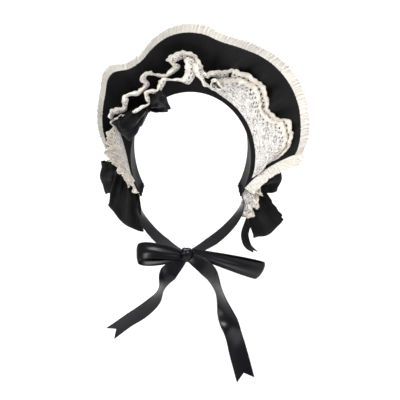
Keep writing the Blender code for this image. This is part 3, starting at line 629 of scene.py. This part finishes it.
def lace_tier(table, cell, rows_across, seed, crumpled_from):
    """A tier as a grid, which of its faces stay, and its mark: 0 at the seam and 1 at the hem. Spare cloth
    after the fold crumpled_from is creased by noise of its place, and its mark rises there in patches of the hem's
    beige, painted as shade."""
    fine = np.linspace(0, len(table) - 1, 3000)
    hem_run = lengths(tier_point(table, fine, 1.0)[:, None], 0)[:, 0]
    count = int(hem_run[-1] / cell)
    run = np.linspace(0, hem_run[-1], count)[:, None] * np.ones((1, rows_across))
    share = np.linspace(0, 1, rows_across)[None, :] * np.ones((count, 1))
    fold = np.interp(run[:, 0], hem_run, fine)
    sample = np.linspace(0, 1, 12)[None, :]
    depth = lengths(tier_point(table, fold[:, None] + 0 * sample, sample + 0 * fold[:, None]), 1)[:, -1][:, None]
    inward = (1 - share) * depth
    off_x, off_y, distance, radius = nearest_eyelet(run, inward)
    inside = (inward > 0.004) & (inward < depth - 0.004)
    near = (distance < radius + 0.45 * cell) & inside & (distance > 1e-7)
    push = np.where(near, radius / np.maximum(distance, 1e-7) - 1, 0)
    run_moved, share_moved = run + off_x * push, share - off_y * push / depth
    face_run = (run[:-1, :-1] + run[1:, 1:]) / 2
    face_in = (inward[:-1, :-1] + inward[1:, 1:] + inward[1:, :-1] + inward[:-1, 1:]) / 4
    face = nearest_eyelet(face_run, face_in)
    keep = ~((face[2] < face[3]) & (inside[:-1, :-1] & inside[1:, 1:]))
    scallop = 0.0012 * np.abs(np.sin(np.pi * run_moved / 0.0085)) * share ** 6 / depth
    fold_moved = np.interp(run_moved, hem_run, fine)
    spare = np.clip((fold[:, None] - crumpled_from) / 3, 0, 1)
    ragged = 0.045 * spare * soft_noise(run * 55, 0 * run, seed + 4) * share ** 2
    grid = tier_point(table, fold_moved, share_moved + scallop + ragged)
    ripple = 0.0013 * np.sin(2 * np.pi * run / 0.023 + soft_noise(run * 20, share, seed)) * share ** 2
    ripple = ripple + 0.0005 * soft_noise(run * 60, share * 2, seed + 1) * share
    ripple = ripple + 0.0021 * spare * soft_noise(run * 75, share * 1.8, seed + 2) * share ** 0.7
    # Painted shade: on spare cloth the mark rises in patches, painted in the hem's beige.
    mark = share + 0.70 * spare * np.abs(soft_noise(run * 70, share * 1.6, seed + 5))
    return grid + normals(grid) * ripple[..., None], keep, np.clip(mark, 0, 1)


def hem_cord(grid, radius, knob, reach):
    """A knobbly cord along a tier's hem: a round section carried along the hem, whose radius swells at each
    knob of thread and whose middle swings out in scallops."""
    hem = grid[:, -1]
    out = unit(grid[:, -1] - grid[:, -3])
    across = normals(grid)[:, -1]
    run = lengths(hem[:, None], 0)[:, 0]
    turn = np.linspace(0, 2 * np.pi, 9)[:-1]
    size = radius * (0.72 + 0.5 * np.abs(np.sin(np.pi * run / knob)))
    middle = hem + out * (reach * np.abs(np.sin(np.pi * run / (3 * knob))))[:, None]
    round_x, round_y = np.cos(turn)[None, :, None], np.sin(turn)[None, :, None]
    cord = middle[:, None] + (out[:, None] * round_x + across[:, None] * round_y) * size[:, None, None]
    return np.concatenate([cord, cord[:, :1]], 1)


def make_tier(name, node, table, seed, crumpled_from):
    """One tier with its hem cord."""
    grid, keep, mark = lace_tier(table, 0.00125, 46, seed, crumpled_from)
    tier = cloth_piece(name, grid, EYELET, [node], wall=0.0006, keep=keep, mark=mark)
    cord = cloth_piece(name + "_hem", hem_cord(grid, 0.0008, 0.0026, 0.0008), THREAD, [node])
    return tier


front_tier = make_tier("lace_tier_front", "lace_ruffle_front", TIER_FRONT, 3, 53)
back_tier = make_tier("lace_tier_back", "lace_ruffle_back", TIER_BACK, 8, 90)

# %% [markdown]
# Below the brim's right end the spare lace hangs in a crumpled fan of its own.

# %% The lace's end
LACE_END = np.array([
    (-22, -21, 0.50, 0.00), (-24, -25, 0.78, 0.14), (-26, -29, 0.70, -0.12), (-28, -34, 0.92, 0.16),
    (-30, -38, 0.86, -0.12), (-32, -43, 1.00, 0.10), (-33.5, -48, 0.55, 0.02),
])


def lace_end():
    """A fan from the band's outer face: seam and hem angles, reach and wave come from the table's folds."""
    at = np.linspace(0, len(LACE_END) - 1, 90)[:, None]
    share = np.linspace(0, 1, 30)[None, :]
    table = np.column_stack([np.arange(len(LACE_END)), LACE_END])
    seam, hem, reach, wave = (through(table, k, at) for k in range(1, 5))
    turn = np.radians(seam + (hem - seam) * share)
    first = BAND_WALL + GAP
    crumple = soft_noise(at * 0.9, share * 2.5, 21)
    out = first + (LACE_END_REACH * reach - first) * share + 0.0016 * crumple * share
    points = np.stack([(HEAD_HALF_WIDTH + out) * np.cos(turn), 0 * turn, (HEAD_RISE + out) * np.sin(turn) - HEAD_RISE], -1)
    points[..., 1] = (0.11 - wave * share) * LACE_END_REACH - 0.0024 * share * soft_noise(at, share * 3, 22)
    return points


end_grid = lace_end()
# Painted shade: noise raises the mark in patches, so the crumpled end is painted in the hem's beige there.
end_share = np.linspace(0, 1, 30)[None, :] + 0.35 * np.abs(soft_noise(np.linspace(0, 5, 90)[:, None], np.linspace(0, 2, 30)[None, :], 24))
end_share = np.clip(end_share, 0, 1)
end_run, end_in = lengths(end_grid, 0), lengths(end_grid, 1)[:, -1:] - lengths(end_grid, 1)
end_hole = nearest_eyelet(end_run, end_in)
end_keep = ~((end_hole[2] < end_hole[3]) & (end_in > 0.004))[:-1, :-1]
end_piece = cloth_piece("lace_end_cloth", end_grid, EYELET, ["lace_end_right"], wall=0.0006,
                        keep=end_keep, mark=end_share)
end_cord = cloth_piece("lace_end_hem", hem_cord(end_grid, 0.0009, 0.0026, 0.0008), THREAD, ["lace_end_right"])

# %% [markdown]
# A bow's loop is a ribbon that leaves the knot, turns over and comes back. Seen from its side it is a long
# drop shape: the share out from the knot is half of one minus a cosine, and the thickness is a sine. The
# ribbon is pinched in the knot, so folds fan out from there and die away towards the turn. A knot is a
# rounded block, creased where the same ribbon wraps round it.

# %% Loops, knots and ribbons
def loop_grid(root, tip, across, widths, depth, folds=(), sag=0.0, tuck=0.0045, blunt=0.75,
              spread=0.5, rounded=0.0, crumple=0.0, detail=(97, 41)):
    """A loop's surface: out and back along the run, thick as a power of a sine, as wide as the widths say.
    Its root is tucked into the knot, spread says how soon it widens, rounded pulls its corners in, and
    crumple is the height of uneven dents and of the edges' waves, which come from smooth noise.
    Each fold is (how many waves across, height in metres, start) and fades away from the knot."""
    root, tip, side = np.asarray(root, float), np.asarray(tip, float), unit(across)
    root = root - unit(tip - root) * tuck
    run = tip - root
    bulge = unit(np.cross(run, side))
    u = np.linspace(0, 2 * np.pi, detail[0])[:-1, None]
    v = np.linspace(-0.5, 0.5, detail[1])[None, :]
    share = (1 - np.cos(u)) / 2
    round_place = 0.9 * share + 0.25 * np.sin(u)
    wave = crumple * soft_noise(2.6 * round_place, 1.1 * v, 31) * share
    width = widths[0] + (widths[1] - widths[0]) * share ** spread + 2.2 * wave
    reach = share * (1 - rounded * (2 * np.abs(v)) ** 3 * share) + 1.5 * wave / np.linalg.norm(run)
    root_depth = 0.35
    round_turn = np.sign(np.sin(u)) * np.abs(np.sin(u)) ** blunt
    thick = depth / 2 * round_turn * (root_depth + (1 - root_depth) * share)
    grid = root + run * reach[..., None] + bulge * thick[..., None] + side * (width * v)[..., None]
    away = np.sign(np.sin(u)) * np.sqrt(np.abs(np.sin(u)))
    lift = 0 * (u * v)
    for waves, height, start in folds:
        fade = np.exp(-share / 1.1)
        lift = lift + height * fade * np.sin(2 * np.pi * waves * v * (1 - 0.35 * share) + start + 0.6 * share)
    # The mark is the folds' height: the black cotton paints it as painted highlight on the crests and painted shade in
    # the hollows.
    mark = lift / 0.004
    lift = lift - sag * (2 * v) ** 2 * share + crumple * soft_noise(2.1 * round_place, 2.3 * v, 32) * share
    return grid + bulge * (away * lift)[..., None], mark


def knot_grid(centre, run, across, size, tilt=0.35):
    """A knot's surface: a sphere squared off by a power, scaled to its sizes, with two tilted creases that
    are bell-shaped grooves of the place along the run."""
    run = unit(run)
    side = np.asarray(across, float)
    side = unit(side - run * (side @ run))
    deep = np.cross(run, side)
    u = np.linspace(0, 2 * np.pi, 61)[:, None]
    v = np.linspace(-np.pi / 2, np.pi / 2, 33)[None, :]
    ball = np.stack([np.cos(u) * np.cos(v), np.sin(u) * np.cos(v), np.sin(v) + 0 * u], -1)
    block = np.sign(ball) * np.abs(ball) ** 0.8 * np.asarray(size) / 2
    line = ball[..., 2] + tilt * ball[..., 0]
    groove = 0.07 * np.exp(-((line - 0.34) / 0.16) ** 2) + 0.05 * np.exp(-((line + 0.42) / 0.14) ** 2)
    block = block * (1 - groove * np.cos(v) ** 0.5)[..., None]
    return np.asarray(centre) + side * block[..., 0:1] + deep * block[..., 1:2] + run * block[..., 2:3]


def ribbon_grid(points, across, widths, notch=0.0, cup=0.0, columns=17):
    """A flat ribbon along points, as wide as widths, cupped by a parabola across, with a swallow tail."""
    along = unit(np.gradient(points, axis=0))
    across = unit(across - along * (across * along).sum(-1, keepdims=True))
    face = np.cross(across, along)
    v = np.linspace(-0.5, 0.5, columns)[None, :]
    grid = points[:, None] + across[:, None] * (v * widths[:, None])[..., None]
    grid = grid + face[:, None] * (cup * (4 * v * v - 0.33))[..., None]
    pull = np.linspace(0, 1, len(points))[:, None] ** 8 * (1 - np.abs(2 * v))
    return grid - along[:, None] * (pull * notch)[..., None]


def make_loop(name, node, finish_used, slot, wall, flat, **shape):
    """A loop as a piece."""
    grid, mark = loop_grid(**shape)
    piece = cloth_piece(name, grid, finish_used, [node], wall=wall, ring=True, mark=mark)
    return piece


# %% [markdown]
# The satin bow sits at the upper left, half over the lace. Its knot rests on the brim's root.

# %% The satin bow
deep = 0.8 * SATIN_BOW_KNOT
seat = before_brim(132.0, 0.11 * BRIM_WIDTH, BRIM_WALL / 2 + GAP * 2 + 0.78 * deep)
run = unit([-0.56, -0.77, -0.27])
other = unit([0.62, -0.56, 0.52])
hold = SATIN_BOW_KNOT / 2
near, far = 0.4 * RIBBON_WIDTH, 1.35 * RIBBON_WIDTH
cloth_piece("satin_bow_knot_wrap", knot_grid(seat, run, (0.5, 0, -0.8), (1.2 * SATIN_BOW_KNOT, deep, SATIN_BOW_KNOT)),
            SATIN, ["satin_bow_knot"])
left_root = seat + run * (hold + GAP * 4)
make_loop("satin_bow_left", "satin_bow_loop_left", SATIN, "black_satin", 0.0007, (0.028, 0.112),
          root=left_root, tip=left_root + run * SATIN_BOW_LOOP, across=(0.6, 0.1, -0.75), widths=(near, far),
          depth=0.3 * SATIN_BOW_LOOP, folds=((1.7, 0.0026, 0.4), (3.4, 0.0011, 1.0)), sag=0.0012, rounded=0.02,
          crumple=0.0012)
right_root = seat + other * (hold - GAP)
make_loop("satin_bow_right", "satin_bow_loop_right", SATIN, "black_satin", 0.0007, (0.026, 0.081),
          root=right_root, tip=right_root + other * 0.66 * SATIN_BOW_LOOP, across=(0.42, 0.1, -0.85),
          widths=(near, 0.92 * far), depth=0.3 * SATIN_BOW_LOOP, folds=((1.6, 0.0024, 2.0), (3.3, 0.0010, 0.0)),
          sag=0.001, rounded=0.03, crumple=0.0010)

# %% [markdown]
# The side bows are the brim's cotton, hemmed and tied above each ear. Each hangs in heavy folds.

# %% The side bows
def side_bow_knot(name, node, angle, share):
    """A cotton knot on the band's outer face, and its middle."""
    place = band_surface(np.array(float(angle)), np.array(share), BAND_WALL / 2 + GAP + 0.5 * SIDE_BOW_KNOT)
    down = arch(np.array(angle + 1.0)) - arch(np.array(angle - 1.0))
    cloth_piece(name, knot_grid(place, down, (0, 1, 0), (1.1 * SIDE_BOW_KNOT, SIDE_BOW_KNOT, SIDE_BOW_KNOT)),
                COTTON, [node])
    return place


def side_bow_loop(name, node, knot_middle, seat_share, way, across, shares, flat, folds, rounded=0.08):
    """A cotton loop beside its knot; length, root width, end width and depth are shares of SIDE_BOW_LOOP."""
    way = unit(way)
    root = knot_middle + way * (seat_share * SIDE_BOW_KNOT + GAP * 2)
    length, near_width, far_width, thick = np.asarray(shares) * SIDE_BOW_LOOP
    return make_loop(name, node, COTTON, "black_cotton", 0.0010, flat, root=root, tip=root + way * length,
                     across=across, widths=(near_width, far_width), depth=thick, folds=folds, sag=0.001,
                     rounded=rounded, crumple=0.0014)


behind = np.array([0, 0.3 * SIDE_BOW_KNOT, 0])
left_knot = side_bow_knot("side_bow_left_wrap", "side_bow_left_knot", 194, 0.44)
side_bow_loop("side_bow_left_front", "side_bow_left_loop_front", left_knot - behind, 0.68, (-0.03, -0.34, -0.94),
              (0.79, -0.16, -0.58), (0.86, 0.42, 0.88, 0.24), (0.050, 0.133), ((1.8, 0.0058, 0.6), (3.9, 0.0028, 0)), 0.12)
side_bow_loop("side_bow_left_back", "side_bow_left_loop_back", left_knot + 0.5 * behind, 0.56, (-0.92, 0.10, -0.36),
              (0.08, 0.05, -0.98), (0.42, 0.34, 0.76, 0.18), (0.045, 0.08), ((1.6, 0.0036, 1.6), (3.5, 0.0018, 2)))
right_knot = side_bow_knot("side_bow_right_wrap", "side_bow_right_knot", -27, 0.6)
side_bow_loop("side_bow_right_upper", "side_bow_right_loop_upper", right_knot + 1.4 * behind, 0.40, (0.88, 0.16, 0.12),
              (0.02, -0.10, 1.0), (0.56, 0.28, 0.70, 0.18), (0.042, 0.098), ((1.6, 0.0036, 0.2), (3.6, 0.0018, 1)))
side_bow_loop("side_bow_right_lower", "side_bow_right_loop_lower", right_knot, 0.62, (0.40, -0.10, -0.90),
              (0.82, 0.13, 0.55), (0.98, 0.34, 0.72, 0.21), (0.045, 0.155), ((1.7, 0.0046, 1.2), (3.7, 0.0022, 0.5)))

# %% [markdown]
# Ribbon ends hang free. A table says, as shares of the end's length, how far aside, forward and down it has
# got at each bend, and how far it has twisted.

# %% Free ends
TAIL_LEFT = np.array([
    (0.00, 0.00, 0.00, 0.00, 0), (0.15, -0.12, 0.05, 0.075, 10), (0.32, -0.195, 0.13, 0.21, 65),
    (0.45, -0.255, 0.19, 0.305, 50), (0.60, -0.37, 0.26, 0.385, 42), (0.78, -0.52, 0.33, 0.455, 45),
    (1.00, -0.70, 0.42, 0.55, 42),
])
TAIL_RIGHT = np.array([
    (0.00, 0.00, 0.00, 0.00, 0), (0.12, 0.115, 0.03, 0.06, -40), (0.27, 0.20, 0.07, 0.205, -80),
    (0.50, 0.27, 0.17, 0.405, -32), (0.60, 0.305, 0.22, 0.48, 5), (0.80, 0.36, 0.31, 0.65, -6),
    (1.00, 0.41, 0.40, 0.812, -6),
])
TAIL_SIDE = np.array([
    (0.00, 0.00, 0.00, 0.00, 0), (0.40, 0.03, 0.00, 0.40, 10), (0.70, -0.03, 0.01, 0.70, 0),
    (0.84, 0.01, 0.02, 0.83, -30), (1.00, 0.11, 0.03, 0.92, -60),
])


def free_end(name, node, table, length, root, face, wide, finish_used, wall, knot_middle):
    """A ribbon end from its table of bends, drawn in to its knot at the start and notched at its tip."""
    at = np.linspace(0, 1, 161)
    aside, ahead, down, twist = (through(table, k, at) for k in range(1, 5))
    points = root + np.stack([aside, -ahead, -down], -1) * length
    points = points + (knot_middle - root) * (0.7 * np.clip(1 - at / 0.14, 0, 1) ** 2)[:, None]
    along = unit(np.gradient(points, axis=0))
    flat_way = unit(np.cross(along, face))
    lift = np.cross(flat_way, along)
    turn = np.radians(twist)[:, None]
    widths = wide * (1 - 0.6 * np.clip(1 - at / 0.17, 0, 1) ** 1.5)
    across = flat_way * np.cos(turn) + lift * np.sin(turn)
    grid = ribbon_grid(points, across, widths, notch=0.4 * wide, cup=0.03 * wide)
    piece = cloth_piece(name, grid, finish_used, [node], wall=wall)
    return piece


free_end("side_bow_right_end", "side_bow_right_tail", TAIL_SIDE, SIDE_BOW_TAIL,
         right_knot + 1.4 * behind + np.array([0, 0, -0.5 * SIDE_BOW_KNOT - GAP]), np.array([0.1, -1, 0.3]),
         0.45 * RIBBON_WIDTH, COTTON, 0.0010, right_knot)

# %% [markdown]
# The chin ribbon leaves each end of the band, runs along the jaw and is tied in a bow under the chin.

# %% The chin ribbon
def chin_point(aside=0.0, forward=0.0, down=0.0):
    """A point by the knot under the chin."""
    return np.array([aside - CHIN_ASIDE, -CHIN_FORWARD - forward, -CHIN_DROP - down])


def strap(name, node, side):
    """A ribbon from inside the band's end into the knot, along a cubic curve with two control points."""
    angle = 90 - side * (90 + BAND_END_ANGLE)
    start = arch(np.array(float(angle)), -0.7 * BAND_WALL)
    down = unit(arch(np.array(angle - side * 1.0)) - start)
    start = start - down * 0.25 * RIBBON_WIDTH + np.array([0, RIBBON_WIDTH / 2, 0])
    end = chin_point(side * 0.25 * CHIN_KNOT, -0.25 * CHIN_KNOT)
    first = start + down * 0.35 * HEAD_RISE + np.array([side * 0.22 * HEAD_HALF_WIDTH, 0, 0])
    second = end + np.array([side * 0.45 * HEAD_HALF_WIDTH, 0.20 * CHIN_FORWARD, 0.03 * CHIN_DROP])
    s = np.linspace(0, 1, 141)[:, None]
    points = start * (1 - s) ** 3 + first * 3 * s * (1 - s) ** 2 + second * 3 * s * s * (1 - s) + end * s ** 3
    widths = RIBBON_WIDTH * (1 - 0.5 * np.clip((s[:, 0] - 0.75) / 0.25, 0, 1))
    grid = ribbon_grid(points, np.array([0.0, 1, 0]), widths)
    piece = cloth_piece(name, grid, SATIN, [node], wall=0.0007)


cloth_piece("chin_knot_wrap", knot_grid(chin_point(), (1, 0, 0), (0, 0, 1), (1.1 * CHIN_KNOT, CHIN_KNOT, CHIN_KNOT)),
            SATIN, ["chin_knot"])
strap("chin_strap_left_ribbon", "chin_strap_left", -1)
strap("chin_strap_right_ribbon", "chin_strap_right", 1)
chin_hold = 0.55 * CHIN_KNOT + GAP * 4
near, far = 0.45 * RIBBON_WIDTH, 1.1 * RIBBON_WIDTH
left_root = chin_point(-chin_hold, 0.3 * CHIN_KNOT, -0.15 * CHIN_KNOT)
make_loop("chin_bow_left", "chin_loop_left", SATIN, "black_satin", 0.0007, (0.025, 0.122),
          root=left_root, tip=left_root + unit([-0.97, -0.08, 0.10]) * CHIN_LOOP_LEFT, across=(0.05, -0.9, -0.42),
          widths=(near, far), depth=0.52 * CHIN_LOOP_LEFT, folds=((1.1, 0.0016, 0.3), (2.4, 0.0006, 0.0)), sag=0.0008,
          blunt=0.95, rounded=0.03)
right_root = chin_point(chin_hold + 0.03 * RIBBON_WIDTH, 0.0, -0.15 * CHIN_KNOT)
make_loop("chin_bow_right", "chin_loop_right", SATIN, "black_satin", 0.0007, (0.025, 0.205),
          root=right_root, tip=right_root + unit([0.92, 0.13, -0.38]) * CHIN_LOOP_RIGHT, across=(0.40, 0.05, 0.87),
          widths=(near, far), depth=0.13 * CHIN_LOOP_RIGHT, folds=((1.2, 0.0024, 0.9), (2.6, 0.0008, 1.0)), sag=0.0008,
          spread=0.9, rounded=0.03)
chin_face = np.array([0.2, -0.75, 0.6])
chin_front = 0.5 * CHIN_KNOT + GAP * 3
free_end("chin_end_left", "chin_tail_left", TAIL_LEFT, CHIN_TAIL_LEFT,
         chin_point(-0.28 * RIBBON_WIDTH, chin_front, 0.42 * CHIN_KNOT), chin_face, RIBBON_WIDTH, SATIN,
         0.0007, chin_point())
free_end("chin_end_right", "chin_tail_right", TAIL_RIGHT, CHIN_TAIL_RIGHT,
         chin_point(0.25 * RIBBON_WIDTH, chin_front - GAP * 2, 0.1 * CHIN_KNOT), chin_face, RIBBON_WIDTH, SATIN,
         0.0007, chin_point())

# %% [markdown]
# The bonnet is held up, so the floor only closes the view. Soft light from a large panel above and in front
# with weaker ones on both sides, and a pale sky, keeps the black cloth readable and the lace bright.

# %% Floor, light and camera
def floor_sheet():
    half = 4.0
    mesh = bpy.data.meshes.new("studio_floor")
    corners = [(-half, -half, -0.52), (half, -half, -0.52), (half, half, -0.52), (-half, half, -0.52)]
    mesh.from_pydata(corners, [], [(0, 1, 2, 3)])
    made, tree, shader = finish("pale_studio_paper")
    shader.inputs["Base Color"].default_value = linear("#fbfbfb")
    shader.inputs["Roughness"].default_value = 0.95
    shader.inputs["Specular IOR Level"].default_value = 0.1
    mesh.materials.append(made)
    floor = bpy.data.objects.new("studio_floor", mesh)
    bpy.context.scene.collection.objects.link(floor)


def panel(name, place, aim, size, power):
    """A square area light at a place that shines at an aim."""
    light = bpy.data.lights.new(name, "AREA")
    light.shape = "SQUARE"
    light.size = size
    light.energy = power
    lamp = bpy.data.objects.new(name, light)
    lamp.location = place
    direction = np.asarray(aim, float) - np.asarray(place, float)
    lamp.rotation_euler = Vector(direction).to_track_quat("-Z", "Y").to_euler()
    bpy.context.scene.collection.objects.link(lamp)


floor_sheet()
panel("key_panel", (-0.5, -1.1, 1.7), (0, -0.05, -0.1), 0.6, 38)
panel("fill_panel", (1.4, -1.3, 0.6), (0, -0.05, -0.1), 0.8, 7)
panel("left_panel", (-1.7, -0.8, 0.4), (0, -0.05, -0.1), 0.7, 10)
panel("back_panel", (0.2, 1.5, 1.6), (0, 0.6, -0.5), 1.2, 40)
world = bpy.data.worlds.new("studio_sky")
world.use_nodes = True
world.node_tree.nodes["Background"].inputs[0].default_value = linear("#ffffff")
world.node_tree.nodes["Background"].inputs[1].default_value = 0.32
bpy.context.scene.world = world
bpy.context.scene.view_settings.view_transform = "Standard"

camera = bpy.data.objects.new("camera", bpy.data.cameras.new("camera"))
camera.data.lens = 98
camera.data.sensor_width = 36
camera.location = (0.0125, -0.087 - 1.4 * np.cos(np.radians(30)), -0.1126 + 1.4 * np.sin(np.radians(30)))
camera.rotation_euler = (np.radians(60), 0, 0)
bpy.context.scene.collection.objects.link(camera)
bpy.context.scene.camera = camera
